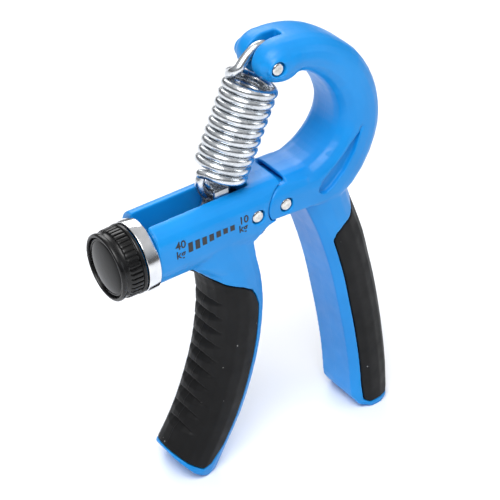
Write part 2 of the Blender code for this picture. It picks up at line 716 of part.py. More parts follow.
def coil(turns):
    """A point of the coil, counted in turns from its top; whole turns lie on the left side."""
    angle = math.tau * turns
    return (COIL_START + COIL_PITCH * turns, -COIL_RADIUS * math.cos(angle), COIL_RADIUS * math.sin(angle))


def coil_points(start, end):
    """The coil's points between two counts of turns."""
    steps = max(int(round((end - start) * 14)), 2)
    return [coil(start + (end - start) * i / steps) for i in range(steps + 1)]


UPPER_HOOK_PATH = [
    (1.6, 3.9, 0.0), (-0.8, 3.9, 0.0), (-2.9, 2.6, 0.0), (-3.85, 0.0, 0.0), (-3.0, -2.6, 0.0),
    (-0.8, -4.3, 0.0), (1.8, -5.5, 0.0), (4.4, -6.4, 0.0), (6.1, -6.9, 0.9),
]


def lower_hook_path():
    """Lower hook from the coil's end, down the left side and round to the right."""
    points = [(COIL_END + 0.7, -6.7, -0.5)]
    for degrees in (190, 165, 140, 115, 90, 65, 40, 15, -5):
        angle = math.radians(degrees)
        points.append((LOWER_HOOK + HOOK_RADIUS * math.sin(angle), HOOK_RADIUS * math.cos(angle), 0.0))
    points[1] = (points[1][0] + 0.4, points[1][1] - 0.9, 0.0)
    return points


def make_springs():
    """One wire in three lengths, so that it can stretch between them."""
    joint = 0.03
    top = smooth_path([*UPPER_HOOK_PATH, coil(0.12)], 3)[:-1] + coil_points(0.12, UPPER_TURNS - joint)
    middle = coil_points(UPPER_TURNS + joint, LOWER_TURNS - joint)
    end = smooth_path([coil(COIL_TURNS - 0.12), *lower_hook_path()], 3)
    bottom = coil_points(LOWER_TURNS + joint, COIL_TURNS - 0.12)[:-1] + end
    for name, path in (("spring_upper", top), ("spring_middle", middle), ("spring_lower", bottom)):
        wire(name, [wire_point(*p) for p in path])


# ---------------------------------------------------------------- assembly
make_front_handle()
make_front_grip()
make_rear_handle()
make_rear_grip()
make_pin("pivot_pin", (0, 0))
make_pin("barrel_pin", BARREL_PIN)
make_pin("spring_pin", TIP_PIN, TIP_BOSS_HALF - PIN_SINK)
make_collar()
make_knob()
make_knob_cap()
make_screw()
make_knob_nut()
make_end_block()
make_carriage()
make_springs()


# ---------------------------------------------------------------- origins and shading
SMOOTH_ANGLE = math.radians(35)


def set_origin(names, x, z):
    """Put the parts' origins on a joint's axis and leave their surfaces where they are."""
    point = place(x, 0, z)
    for name in names:
        part = bpy.data.objects[name]
        part.data.transform(Matrix.Translation(-point))
        part.location = point


set_origin(["front_handle", "front_grip", "barrel_pin", "collar_ring", "end_block", "pivot_pin"], 0, 0)
set_origin(["knob_body", "knob_cap", "adjusting_screw", "knob_nut", "carriage"], *from_barrel(0, 0))
set_origin(["spring_pin", "spring_upper", "spring_middle", "spring_lower"], *TIP_PIN)

for item in [*PARTS.objects, *CUTTERS.objects]:
    for face in item.data.polygons:
        face.use_smooth = True
    item.data.set_sharp_from_angle(angle=SMOOTH_ANGLE)
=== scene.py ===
# %% [markdown]
# # An adjustable hand grip strengthener
# Two blue moulded handles turn on one steel pin. A coil spring pulls the arm of the rear
# moulding towards a carriage in the barrel of the front one, and the knob moves the carriage.
# The imported CAD model is the fixed frame: every visible piece is made over it, and all but the
# spring's two halves ride on one of its bodies, so that the poses move them.

# %% Load the frame
import json
import math

import bmesh
import bpy
import numpy as np
from mathutils import Matrix, Vector

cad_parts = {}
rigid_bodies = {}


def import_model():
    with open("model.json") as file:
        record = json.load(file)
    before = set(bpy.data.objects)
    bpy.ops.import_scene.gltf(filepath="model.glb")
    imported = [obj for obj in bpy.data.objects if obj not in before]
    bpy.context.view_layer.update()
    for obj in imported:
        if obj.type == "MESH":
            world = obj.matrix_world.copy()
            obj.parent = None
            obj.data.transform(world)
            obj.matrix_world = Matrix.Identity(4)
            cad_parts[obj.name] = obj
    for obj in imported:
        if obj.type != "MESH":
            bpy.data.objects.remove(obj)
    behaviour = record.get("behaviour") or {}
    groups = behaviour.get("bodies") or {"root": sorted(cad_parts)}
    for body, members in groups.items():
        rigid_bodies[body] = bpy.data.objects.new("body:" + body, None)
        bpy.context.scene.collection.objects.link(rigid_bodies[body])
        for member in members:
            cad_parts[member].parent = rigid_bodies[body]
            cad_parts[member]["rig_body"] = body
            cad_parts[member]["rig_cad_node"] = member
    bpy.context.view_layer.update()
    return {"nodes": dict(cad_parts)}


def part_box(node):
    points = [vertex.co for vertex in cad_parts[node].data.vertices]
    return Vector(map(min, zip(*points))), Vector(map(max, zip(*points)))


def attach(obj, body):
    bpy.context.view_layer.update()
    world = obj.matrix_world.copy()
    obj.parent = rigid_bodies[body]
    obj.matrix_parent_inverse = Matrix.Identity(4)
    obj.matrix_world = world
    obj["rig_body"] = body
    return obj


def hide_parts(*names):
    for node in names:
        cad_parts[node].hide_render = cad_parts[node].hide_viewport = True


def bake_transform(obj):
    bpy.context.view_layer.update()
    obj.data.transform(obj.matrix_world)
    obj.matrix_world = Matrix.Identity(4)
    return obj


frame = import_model()

# %% [markdown]
# ## Measures
# A few values place every new piece: the pivot, the tip pin, the screw's axis and the
# spring's axis. They are in millimetres from the pivot, as on a workshop drawing, and one
# function turns them into the frame's metres.

# %% The drawing's own values
MM = 0.001
MERGE = 0.002                         # points closer than this are one
PIVOT_X = (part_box("pivot_pin")[0].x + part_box("pivot_pin")[1].x) / 2
PIVOT_Z = (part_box("pivot_pin")[0].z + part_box("pivot_pin")[1].z) / 2
BARREL_TILT = math.radians(3.8)       # the barrel climbs towards the pivot
AXIS_TO_PIVOT = (43.6, 2.95)          # pivot from the ring edge, along and above the screw's axis
BARREL_HALF = 10.25                   # half of the barrel's width
SPRING_LEAN = math.radians(23.4)
TIP_PIN = (-2.65, 44.4)


def place(x, y, z):
    """Millimetres from the pivot as a point of the frame."""
    return Vector((PIVOT_X + x * MM, y * MM, PIVOT_Z + z * MM))


def on_barrel(along, y, up):
    """A point by its place along the screw's axis from the ring, across, and above it."""
    dx, dz = along - AXIS_TO_PIVOT[0], up - AXIS_TO_PIVOT[1]
    c, s = math.cos(BARREL_TILT), math.sin(BARREL_TILT)
    return place(dx * c - dz * s, y, dx * s + dz * c)


def on_spring(down, side, y):
    """A point by its distance down the spring's axis from the tip pin, and to its right."""
    dx, dz = -math.sin(SPRING_LEAN), -math.cos(SPRING_LEAN)
    return place(TIP_PIN[0] + dx * down - dz * side, y, TIP_PIN[1] + dz * down + dx * side)


BARREL_AXIS = (on_barrel(1, 0, 0) - on_barrel(0, 0, 0)).normalized()
print("pivot at", place(0, 0, 0), "ring edge at", on_barrel(0, 0, 0))

# %% [markdown]
# ## Working habits
# Operators act on everything that is selected, so each step first selects one object alone.
# A CAD node is a set of loose triangles: a copy of it is merged before it is reworked.

# %% Selecting, copying and finishing
def only(piece):
    """Leave one object selected and active."""
    bpy.ops.object.select_all(action="DESELECT")
    piece.select_set(True)
    bpy.context.view_layer.objects.active = piece


def edit_all(piece):
    """Open one object's mesh with all of it selected."""
    only(piece)
    bpy.ops.object.mode_set(mode="EDIT")
    bpy.ops.mesh.select_all(action="SELECT")


def copy_of(node, name):
    """A CAD node's shape as a new piece, its triangles merged."""
    only(frame["nodes"][node])
    bpy.ops.object.duplicate()
    piece = bpy.context.active_object
    bpy.ops.object.parent_clear(type="CLEAR_KEEP_TRANSFORM")
    piece.name = name
    piece.data.name = name
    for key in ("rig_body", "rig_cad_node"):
        if key in piece:
            del piece[key]
    piece.data.materials.clear()
    edit_all(piece)
    bpy.ops.mesh.remove_doubles(threshold=MERGE * MM)
    bpy.ops.object.mode_set(mode="OBJECT")
    return piece


def soften_edges(piece, width, segments=2, angle=35):
    """Round a piece's sharp edges and shade it by angle."""
    only(piece)
    step = piece.modifiers.new("edge_radius", "BEVEL")
    step.width = width * MM
    step.segments = segments
    step.limit_method = "ANGLE"
    step.angle_limit = math.radians(angle)
    bpy.ops.object.modifier_apply(modifier=step.name)
    bpy.ops.object.shade_smooth_by_angle(angle=math.radians(angle))


def put(piece, matrix):
    """Move a piece to its place and keep the place in its mesh."""
    only(piece)
    piece.matrix_world = matrix
    bpy.ops.object.transform_apply(location=True, rotation=True, scale=True)


def finish_piece(piece, body, slot, *nodes):
    """Ride a piece on its body in place of CAD nodes; the slot argument is not used."""
    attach(piece, body)
    if nodes:
        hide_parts(*nodes)
    print(piece.name, len(piece.data.polygons), "faces on", body)


# %% [markdown]
# ## Materials: the two tools
# Every finish below is a node tree. One function turns a colour's sRGB hex value into linear
# light, and one adds a node with its settings and links.

# %% Colour and node helpers
def linear(code):
    """An sRGB hex colour as linear red, green, blue and alpha."""
    parts = [int(code[i:i + 2], 16) / 255 for i in (1, 3, 5)]
    return [p / 12.92 if p <= 0.04045 else ((p + 0.055) / 1.055) ** 2.4 for p in parts] + [1.0]


def add_node(tree, kind, settings=None, values=None, **links):
    """Add one node; settings are its properties, values and links its sockets by name."""
    node = tree.nodes.new(kind)
    for key, value in (settings or {}).items():
        setattr(node, key, value)
    for key, value in (values or {}).items():
        node.inputs[key].default_value = value
    for key, source in links.items():
        number = [i for i, s in enumerate(node.inputs) if s.name.replace(" ", "_") == key]
        tree.links.new(source, node.inputs[number[0]])
    return node


def new_finish(name, roughness, metallic=0.0, ior=1.5):
    """A named material with its tree, shader and object coordinates."""
    finish = bpy.data.materials.new(name)
    finish.use_nodes = True
    tree = finish.node_tree
    shader = tree.nodes["Principled BSDF"]
    shader.inputs["Roughness"].default_value = roughness
    shader.inputs["Metallic"].default_value = metallic
    shader.inputs["IOR"].default_value = ior
    place_node = add_node(tree, "ShaderNodeTexCoord")
    return finish, tree, shader, place_node.outputs["Object"]


def ramp(tree, source, stops):
    """A colour ramp through (position, hex or grey) stops."""
    node = add_node(tree, "ShaderNodeValToRGB", Fac=source)
    band = node.color_ramp
    while len(band.elements) < len(stops):
        band.elements.new(0.5)
    for element, (where, tone) in zip(band.elements, stops):
        element.position = where
        element.color = linear(tone) if isinstance(tone, str) else (tone, tone, tone, 1.0)
    return node.outputs["Color"]


def grain(tree, where, size, detail=2.0, rough=0.5):
    """Noise whose lumps are about size millimetres across."""
    node = add_node(tree, "ShaderNodeTexNoise", values={
        "Scale": 1000.0 / size, "Detail": detail, "Roughness": rough}, Vector=where)
    return node.outputs["Fac"]


def relief(tree, shader, height, depth, strength=1.0, under=None):
    """Bump a shader by a height of 0 to 1 that stands for depth millimetres."""
    links = {"Height": height}
    if under is not None:
        links["Normal"] = under
    node = add_node(tree, "ShaderNodeBump", values={"Strength": strength, "Distance": depth * MM}, **links)
    tree.links.new(node.outputs["Normal"], shader.inputs["Normal"])
    return node.outputs["Normal"]


# %% [markdown]
# ## Blue moulded polypropylene
# The handles are injection moulded in a bright blue. A mould's surface is lightly
# spark-eroded, so the plastic is satin and not glossy, with a grit of about 0.1 mm; it is
# drawn at 0.35 mm so that it shows. The colour drifts a little where the melt flowed, and
# a faint line in the middle plane is where the mould's two halves met.

# %% The blue plastic
def middle_line(tree, where, half_width):
    """1 on a thin line in the plane y = 0, fading to 0 at half_width millimetres."""
    apart = add_node(tree, "ShaderNodeSeparateXYZ", Vector=where)
    size = add_node(tree, "ShaderNodeMath", {"operation": "ABSOLUTE"}, Value=apart.outputs["Y"])
    line = add_node(tree, "ShaderNodeMapRange", {"interpolation_type": "SMOOTHSTEP"}, {
        "From Min": 0.0, "From Max": half_width * MM, "To Min": 1.0, "To Max": 0.0},
        Value=size.outputs["Value"])
    return line.outputs["Result"]


def blue_polypropylene():
    finish, tree, shader, where = new_finish("blue_polypropylene", 0.4, ior=1.49)
    shader.inputs["Specular IOR Level"].default_value = 0.36
    flow = grain(tree, where, 22.0, 3.0)
    tint = ramp(tree, flow, [(0.3, "#0482CF"), (0.5, "#0788D6"), (0.72, "#0A8EDD")])
    tree.links.new(tint, shader.inputs["Base Color"])
    satin = ramp(tree, grain(tree, where, 4.0, 4.0), [(0.3, 0.33), (0.7, 0.45)])
    tree.links.new(satin, shader.inputs["Roughness"])
    grit = grain(tree, where, 0.35, 2.0, 0.6)
    fine = relief(tree, shader, grit, 0.012, 0.7)
    waves = relief(tree, shader, grain(tree, where, 6.0, 1.0), 0.05, 0.35, fine)
    relief(tree, shader, middle_line(tree, where, 0.16), 0.05, 0.5, waves)
    return finish


BLUE = blue_polypropylene()

# %% [markdown]
# ## Black thermoplastic rubber
# The grips are moulded over the handles in a soft black rubber. It is nearly matt, with a
# close grain of about 0.2 mm, drawn at 0.4 mm, and it holds pale specks of dust.

# %% The rubber
MIX_FIRST, MIX_SECOND, MIX_RESULT = 6, 7, 2    # the Mix node's colour sockets
SPECK_SPACING = 2.6
SPECK_CLUSTERS = 3.1


def soft_rubber():
    finish, tree, shader, where = new_finish("black_soft_rubber", 0.62, ior=1.52)
    cloud = grain(tree, where, 14.0, 3.0)
    base = ramp(tree, cloud, [(0.3, "#0C0C0D"), (0.7, "#131314")])
    specks = add_node(tree, "ShaderNodeTexVoronoi", values={
        "Scale": 1000.0 / SPECK_SPACING, "Randomness": 1.0}, Vector=where)
    few = grain(tree, where, SPECK_CLUSTERS, 0.0)
    wide = add_node(tree, "ShaderNodeMapRange", values={
        "From Min": 0.52, "From Max": 0.75, "To Min": 0.0, "To Max": 0.09}, Value=few)
    near = add_node(tree, "ShaderNodeMath", {"operation": "LESS_THAN"})
    tree.links.new(specks.outputs["Distance"], near.inputs[0])
    tree.links.new(wide.outputs["Result"], near.inputs[1])
    dusty = add_node(tree, "ShaderNodeMix", {"data_type": "RGBA"})
    tree.links.new(near.outputs["Value"], dusty.inputs["Factor"])
    tree.links.new(base, dusty.inputs[MIX_FIRST])
    dusty.inputs[MIX_SECOND].default_value = linear("#8E8E8C")
    tree.links.new(dusty.outputs[MIX_RESULT], shader.inputs["Base Color"])
    shader.inputs["Specular IOR Level"].default_value = 0.18
    worn = ramp(tree, grain(tree, where, 5.0, 4.0), [(0.3, 0.48), (0.7, 0.66)])
    tree.links.new(worn, shader.inputs["Roughness"])
    close = relief(tree, shader, grain(tree, where, 0.4, 3.0, 0.65), 0.03, 0.8)
    seam = middle_line(tree, where, 0.2)
    deep = add_node(tree, "ShaderNodeMath", {"operation": "SUBTRACT"})
    deep.inputs[0].default_value = 1.0
    tree.links.new(seam, deep.inputs[1])
    relief(tree, shader, deep.outputs["Value"], 0.12, 1.0, close)
    return finish


RUBBER = soft_rubber()

# %% [markdown]
# ## Black ABS of the knob
# The knob is a harder plastic than the grips. Its ribbed band is satin from the mould, and
# its cap is polished: the two differ in roughness and in how much the surface ripples.

# %% The knob's plastics
def black_abs(name, low, high, grit, depth, shine):
    finish, tree, shader, where = new_finish(name, (low + high) / 2, ior=1.54)
    shader.inputs["Specular IOR Level"].default_value = shine
    tint = ramp(tree, grain(tree, where, 5.0, 3.0), [(0.3, "#070708"), (0.7, "#0D0D0E")])
    tree.links.new(tint, shader.inputs["Base Color"])
    patchy = ramp(tree, grain(tree, where, 2.0, 4.0), [(0.35, low), (0.7, high)])
    tree.links.new(patchy, shader.inputs["Roughness"])
    relief(tree, shader, grain(tree, where, grit, 2.0), depth, 0.6)
    return finish


KNOB_PLASTIC = black_abs("black_abs_satin", 0.22, 0.36, 0.35, 0.012, 0.32)
CAP_PLASTIC = black_abs("black_abs_polished", 0.05, 0.11, 2.2, 0.03, 0.14)

# %% [markdown]
# ## Metals
# The sleeve is turned and polished steel with chrome: fine rings run round its axis. The
# spring and carriage are zinc plated: bright, a little blue, with duller patches. The pins
# are polished, with marks of the press. All are full metals with the default IOR.

# %% The metals
def bright_metal(name, dark, light, low, high, patch, grit, depth, rings=0.0):
    finish, tree, shader, where = new_finish(name, (low + high) / 2, 1.0)
    tint = ramp(tree, grain(tree, where, patch, 3.0), [(0.3, dark), (0.65, light)])
    tree.links.new(tint, shader.inputs["Base Color"])
    dull = ramp(tree, grain(tree, where, patch * 0.4, 4.0), [(0.35, low), (0.75, high)])
    tree.links.new(dull, shader.inputs["Roughness"])
    normal = relief(tree, shader, grain(tree, where, grit, 3.0), depth, 0.6)
    if rings:
        turned_way = add_node(tree, "ShaderNodeMapping", {"vector_type": "TEXTURE"}, {
            "Rotation": (0.0, -BARREL_TILT, 0.0)}, Vector=where)
        apart = add_node(tree, "ShaderNodeSeparateXYZ", Vector=turned_way.outputs["Vector"])
        line = add_node(tree, "ShaderNodeTexNoise", {"noise_dimensions": "1D"}, {
            "Scale": 1000.0 / rings, "Detail": 2.0}, W=apart.outputs["X"])
        relief(tree, shader, line.outputs["Fac"], 0.006, 0.5, normal)
    return finish


CHROME = bright_metal("chromed_steel", "#D2D4D7", "#ECEDEF", 0.1, 0.2, 6.0, 0.8, 0.006, 0.35)
ZINC = bright_metal("zinc_plated_wire", "#BCC1C6", "#DFE2E5", 0.2, 0.32, 3.0, 0.5, 0.004)
PIN_STEEL = bright_metal("polished_steel", "#B4B2AE", "#E0DFDC", 0.12, 0.26, 1.2, 0.6, 0.01)
SCREW_STEEL = bright_metal("oiled_screw_steel", "#6E6C69", "#9A9896", 0.28, 0.42, 1.5, 0.5, 0.01)

# %% [markdown]
# ## Pad-printed ink
# The scale on the barrel is black pad-printing ink, a film of some hundredths of a
# millimetre, a little glossier than the plastic and slightly uneven.

# %% The ink
def print_ink():
    finish, tree, shader, where = new_finish("black_print_ink", 0.45)
    tint = ramp(tree, grain(tree, where, 0.7, 3.0), [(0.35, "#15171B"), (0.75, "#23262B")])
    tree.links.new(tint, shader.inputs["Base Color"])
    relief(tree, shader, grain(tree, where, 0.3, 2.0), 0.008, 0.5)
    return finish


INK = print_ink()

# %% [markdown]
# ## The blue mouldings
# The CAD solids have the right forms but knife-sharp edges, and no mould makes those. A
# bevel could round them, but it stumbles on the many short edges that the cuts leave. A
# voxel remesh rebuilds the skin from small even faces and a light smoothing then rounds
# each edge, outside and inside corners alike, by about half a millimetre.

# %% Front and rear mouldings
MOULDING_VOXEL = 0.38
MOULDING_ROUNDS = 5


def moulded(node, name, voxel, rounds):
    """A copy of a CAD node with its skin rebuilt in small faces and its edges rounded."""
    piece = copy_of(node, name)
    piece.data.remesh_voxel_size = voxel * MM
    piece.data.remesh_voxel_adaptivity = 0.0
    only(piece)
    bpy.ops.object.voxel_remesh()
    edit_all(piece)
    bpy.ops.mesh.vertices_smooth(factor=0.5, repeat=rounds)
    bpy.ops.object.mode_set(mode="OBJECT")
    bpy.ops.object.shade_smooth()
    return piece


front_moulding = moulded("front_handle", "front_moulding", MOULDING_VOXEL, MOULDING_ROUNDS)
front_moulding.data.materials.append(BLUE)
finish_piece(front_moulding, "front", "front_handle", "front_handle")

rear_moulding = moulded("rear_handle", "rear_moulding", MOULDING_VOXEL, MOULDING_ROUNDS)
rear_moulding.data.materials.append(BLUE)
finish_piece(rear_moulding, "rear", "rear_handle", "rear_handle")

# %% [markdown]
# ## The grips
# Each grip is a rubber skin let into its handle. The front one has ten scooped finger
# grooves: lens shapes, steep at their upper edge and running out softly below. The skin
# is remeshed like the mouldings, then each point of its outer face is pressed in by the
# groove that it lies in.

# %% Grip skins and finger grooves
GROOVE_LINE = [(-30.8, -15.0), (-26.3, -17.8), (-23.9, -23.0), (-23.4, -33.0), (-25.1, -46.5),
               (-28.2, -57.5), (-31.9, -67.5), (-36.2, -76.0), (-39.5, -81.0)]
GROOVES = 10
GROOVE_PITCH = 4.87
FIRST_GROOVE = 17.0            # along the line to the first groove's middle
GROOVE_HALF = 1.65             # half of a groove's height at its middle
GROOVE_REACH = 7.6             # how far it runs round each side
GROOVE_DEPTH = 1.25
STEEP_SHARE = 0.28             # share of a half groove in which it reaches its depth
SOFT_SHARE = 1.5               # the larger, the longer it runs out below
GRIP_VOXELS = {"front_grip": 0.33, "rear_grip": 0.38}
GRIP_ROUNDS = 3


def along_line(x, z, line):
    """Distance along a polyline of the points nearest to x, z, and the way out from it."""
    best = np.full(len(x), 1e9)
    where = np.zeros(len(x))
    out = np.zeros((len(x), 2))
    start = 0.0
    for (ax, az), (bx, bz) in zip(line, line[1:]):
        length = math.dist((ax, az), (bx, bz))
        ux, uz = (bx - ax) / length, (bz - az) / length
        t = np.clip((x - ax) * ux + (z - az) * uz, 0, length)
        gap = np.hypot(x - ax - ux * t, z - az - uz * t)
        nearer = gap < best
        best = np.where(nearer, gap, best)
        where = np.where(nearer, start + t, where)
        out[nearer] = (uz, -ux)
        start += length
    return where, out


def press_grooves(piece):
    """Scoop the finger grooves out of a grip's outer face."""
    count = len(piece.data.vertices)
    spots = np.zeros(count * 3)
    ways = np.zeros(count * 3)
    piece.data.vertices.foreach_get("co", spots)
    piece.data.vertices.foreach_get("normal", ways)
    spots, ways = spots.reshape(-1, 3), ways.reshape(-1, 3)
    x = (spots[:, 0] - PIVOT_X) / MM
    z = (spots[:, 2] - PIVOT_Z) / MM
    side = np.abs(spots[:, 1]) / MM
    where, out = along_line(x, z, GROOVE_LINE)
    facing = ways[:, 0] * out[:, 0] + ways[:, 2] * out[:, 1]
    taper = np.clip(1 - (side / GROOVE_REACH) ** 2, 0, 1)
    number = np.clip(np.round((where - FIRST_GROOVE) / GROOVE_PITCH), 0, GROOVES - 1)
    offset = where - FIRST_GROOVE - number * GROOVE_PITCH
    span = np.maximum(GROOVE_HALF * taper, 0.05)
    t = offset / span
    steep = np.clip((t + 1) / STEEP_SHARE, 0, 1)
    soft = np.clip((1 - t) / SOFT_SHARE, 0, 1)
    depth = GROOVE_DEPTH * taper ** 0.8 * np.minimum(steep * steep * (3 - 2 * steep), soft ** 1.2)
    depth *= (np.abs(t) < 1) * np.clip(facing * 4, 0, 1)
    spots -= ways * (depth * MM)[:, None]
    piece.data.vertices.foreach_set("co", spots.ravel())
    piece.data.update()
    print("deepest groove", round(float(depth.max()), 2), "mm")


front_rubber = moulded("front_grip", "front_rubber_grip", GRIP_VOXELS["front_grip"], GRIP_ROUNDS)
press_grooves(front_rubber)
edit_all(front_rubber)
bpy.ops.mesh.vertices_smooth(factor=0.5, repeat=1)
bpy.ops.object.mode_set(mode="OBJECT")
front_rubber.data.materials.append(RUBBER)
finish_piece(front_rubber, "front", "front_grip", "front_grip")

rear_rubber = moulded("rear_grip", "rear_rubber_grip", GRIP_VOXELS["rear_grip"], GRIP_ROUNDS)
rear_rubber.data.materials.append(RUBBER)
finish_piece(rear_rubber, "rear", "rear_grip", "rear_grip")

# %% [markdown]
# ## Turned pieces
# The sleeve, the knob and its cap are round about the screw's axis. A lathe's way of
# working suits them: a circle is extruded ring by ring and scaled to each ring's radius.

# %% The lathe
def turned(name, rings, sides=96, solid=False):
    """Extrude a circle through rings of (radius, distance in front of the ring edge)."""
    radius, height = rings[0]
    bpy.ops.object.select_all(action="DESELECT")
    bpy.ops.mesh.primitive_circle_add(
        vertices=sides, radius=radius * MM, fill_type="NGON" if solid else "NOTHING")
    piece = bpy.context.active_object
    piece.name = name
    piece.data.name = name
    edit_all(piece)
    bpy.ops.transform.translate(value=(0, 0, height * MM))
    for wider, higher in rings[1:]:
        bpy.ops.mesh.extrude_region_move(TRANSFORM_OT_translate={"value": (0, 0, (higher - height) * MM)})
        bpy.ops.transform.resize(value=(wider / radius, wider / radius, 1), center_override=(0, 0, 0))
        radius, height = wider, higher
    bpy.ops.mesh.select_all(action="SELECT")
    bpy.ops.mesh.remove_doubles(threshold=MERGE * MM)
    bpy.ops.mesh.normals_make_consistent(inside=False)
    bpy.ops.object.mode_set(mode="OBJECT")
    return piece


to_front = (-BARREL_AXIS).to_track_quat("Z", "Y").to_matrix().to_4x4()
ON_SCREW = Matrix.Translation(on_barrel(0, 0, 0)) @ to_front

# %% [markdown]
# ## The polished sleeve
# A plain chromed ring closes the barrel behind the knob. Its rims are broken by a small
# chamfer, and that chamfer is what makes its edges flash.

# %% The sleeve
sleeve = turned("polished_sleeve", [
    (9.9, 0.3), (11.0, 0.3), (11.0, 4.2), (9.9, 4.2), (9.9, 0.3)], 128)
soften_edges(sleeve, 0.22, 3)
put(sleeve, ON_SCREW)
sleeve.data.materials.append(CHROME)
finish_piece(sleeve, "front", "collar_ring", "collar_ring")

# %% [markdown]
# ## The knob
# Behind is a flange, then a band of forty ribs for the fingers, a neck and a rounded rim.
# The ribs are what is left between slots: every third face of the band is pushed inwards.

# %% Knob body with its ribs
KNOB_SIDES = 120
SLOT_EVERY = 3                 # faces from one slot to the next
RIB_BAND = (5.9, 9.6)          # the ribbed band, in front of the ring edge
RIB_INSIDE = 9.9               # faces further out than this belong to the band
RIB_DEPTH = 0.5
knob = turned("ribbed_knob", [
    (3.2, 4.5), (10.3, 4.5), (10.58, 4.62), (10.65, 4.85), (10.65, 5.3), (10.5, 5.6),
    (10.1, 5.65), (10.1, 5.85), (10.42, 5.95), (10.45, 6.3), (10.4, 9.0), (10.3, 9.4), (9.95, 9.65),
    (9.8, 9.9), (9.8, 10.9), (9.95, 11.05), (10.18, 11.2), (10.25, 11.5), (10.25, 12.0), (10.12, 12.35),
    (9.85, 12.55), (9.55, 12.6), (9.3, 12.5), (9.2, 12.3), (9.2, 10.7), (6.4, 10.7), (6.4, 8.0),
    (3.2, 8.0), (3.2, 4.5)], KNOB_SIDES)
edit_all(knob)
bpy.ops.mesh.select_all(action="DESELECT")
bpy.ops.mesh.select_mode(type="FACE")
mesh = bmesh.from_edit_mesh(knob.data)
for face in mesh.faces:
    middle = face.calc_center_median()
    column = round((math.atan2(middle.y, middle.x) / math.tau * KNOB_SIDES) - 0.5)
    radial = math.hypot(middle.x, middle.y)
    on_band = RIB_BAND[0] * MM < middle.z < RIB_BAND[1] * MM and radial > RIB_INSIDE * MM
    face.select_set(on_band and column % SLOT_EVERY == 0)
bmesh.update_edit_mesh(knob.data)
bpy.ops.mesh.extrude_region_move()
bpy.ops.transform.shrink_fatten(value=-RIB_DEPTH * MM)
bpy.ops.mesh.select_all(action="SELECT")
bpy.ops.mesh.normals_make_consistent(inside=False)
bpy.ops.object.mode_set(mode="OBJECT")
soften_edges(knob, 0.07, 2, 40)
put(knob, ON_SCREW)
knob.data.materials.append(KNOB_PLASTIC)
finish_piece(knob, "knob", "knob_body", "knob_body")

# %% [markdown]
# ## The domed cap
# A polished cap is pressed into the knob's front. It has a narrow flat rim and a low dome.

# %% Knob cap
cap_rings = [(8.6, 11.0), (8.9, 11.15), (8.9, 11.75), (8.75, 11.95), (8.4, 12.0)]
DOME_RADIUS = 8.1
DOME_HEIGHT = 1.0
DOME_STEPS = 14
for step in range(DOME_STEPS + 1):
    rise = step / DOME_STEPS * math.radians(88)
    cap_rings.append((DOME_RADIUS * math.cos(rise), 11.95 + DOME_HEIGHT * math.sin(rise) ** 1.3))
cap = turned("domed_cap", cap_rings, 96, solid=True)
soften_edges(cap, 0.05, 1, 50)
put(cap, ON_SCREW)
cap.data.materials.append(CAP_PLASTIC)
finish_piece(cap, "knob", "knob_cap", "knob_cap")

# %% [markdown]
# ## The pins
# Three steel pins cross the mouldings. Each end is a low rounded head, and the hole round
# it leaves a thin dark ring.

# %% Pins with rounded heads
PIN_RADIUS = 2.0
PIN_DOME = 0.7
BARREL_PIN = (33.6, 2.9)       # along and above the screw's axis


def pin(name, where, body, node):
    """A steel pin along Y with domed ends."""
    low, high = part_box(node)
    bpy.ops.object.select_all(action="DESELECT")
    bpy.ops.mesh.primitive_cylinder_add(
        vertices=48, radius=PIN_RADIUS * MM, depth=high.y - low.y, rotation=(math.pi / 2, 0, 0),
        location=where)
    piece = bpy.context.active_object
    piece.name = name
    soften_edges(piece, PIN_DOME, 6)
    only(piece)
    bpy.ops.object.transform_apply(location=True, rotation=True, scale=True)
    piece.data.materials.append(PIN_STEEL)
    finish_piece(piece, body, node, node)


pin("pivot_steel_pin", place(0, 0, 0), "rear", "pivot_pin")
pin("barrel_steel_pin", on_barrel(BARREL_PIN[0], 0, BARREL_PIN[1]), "front", "barrel_pin")
pin("tip_steel_pin", place(TIP_PIN[0], 0, TIP_PIN[1]), "spring_eye", "spring_pin")

# %% [markdown]
# ## The adjusting screw
# The rod that the knob turns has a real thread, a ridge that climbs one millimetre a turn.
# One ridge profile is spun up the axis by the Screw modifier.

# %% Threaded rod
THREAD_PITCH = 1.0
THREAD_START = -29.9
THREAD_TURNS = 28
THREAD_STEPS = 32
THREAD_MERGE = 0.01
LONG_EDGE = 0.9                # only the loop's closing edge is longer
bpy.ops.object.select_all(action="DESELECT")
bpy.ops.mesh.primitive_plane_add(size=1.0 * MM)
screw = bpy.context.active_object
screw.name = "threaded_rod"
screw.data.name = "threaded_rod"
edit_all(screw)
bpy.ops.mesh.delete(type="ONLY_FACE")
mesh = bmesh.from_edit_mesh(screw.data)
mesh.verts.ensure_lookup_table()
ridge = [(2.35, 0.0), (2.85, 0.42), (2.85, 0.58), (2.35, 1.0)]
loop = sorted(mesh.verts, key=lambda v: (math.atan2(v.co.y, v.co.x)))
for vertex, (radius, height) in zip(loop, ridge):
    vertex.co = (radius * MM, 0, height * MM)
for edge in list(mesh.edges):
    if abs(edge.verts[0].co.z - edge.verts[1].co.z) > LONG_EDGE * MM:
        mesh.edges.remove(edge)
bmesh.update_edit_mesh(screw.data)
bpy.ops.object.mode_set(mode="OBJECT")
only(screw)
spin = screw.modifiers.new("thread", "SCREW")
spin.axis = "Z"
spin.screw_offset = THREAD_PITCH * MM
spin.iterations = THREAD_TURNS
spin.steps = THREAD_STEPS
spin.render_steps = THREAD_STEPS
spin.use_merge_vertices = True
spin.merge_threshold = THREAD_MERGE * MM
bpy.ops.object.modifier_apply(modifier=spin.name)
edit_all(screw)
bpy.ops.mesh.remove_doubles(threshold=MERGE * MM)
bpy.ops.mesh.fill_holes(sides=0)
bpy.ops.mesh.select_all(action="SELECT")
bpy.ops.mesh.normals_make_consistent(inside=False)
bpy.ops.object.mode_set(mode="OBJECT")
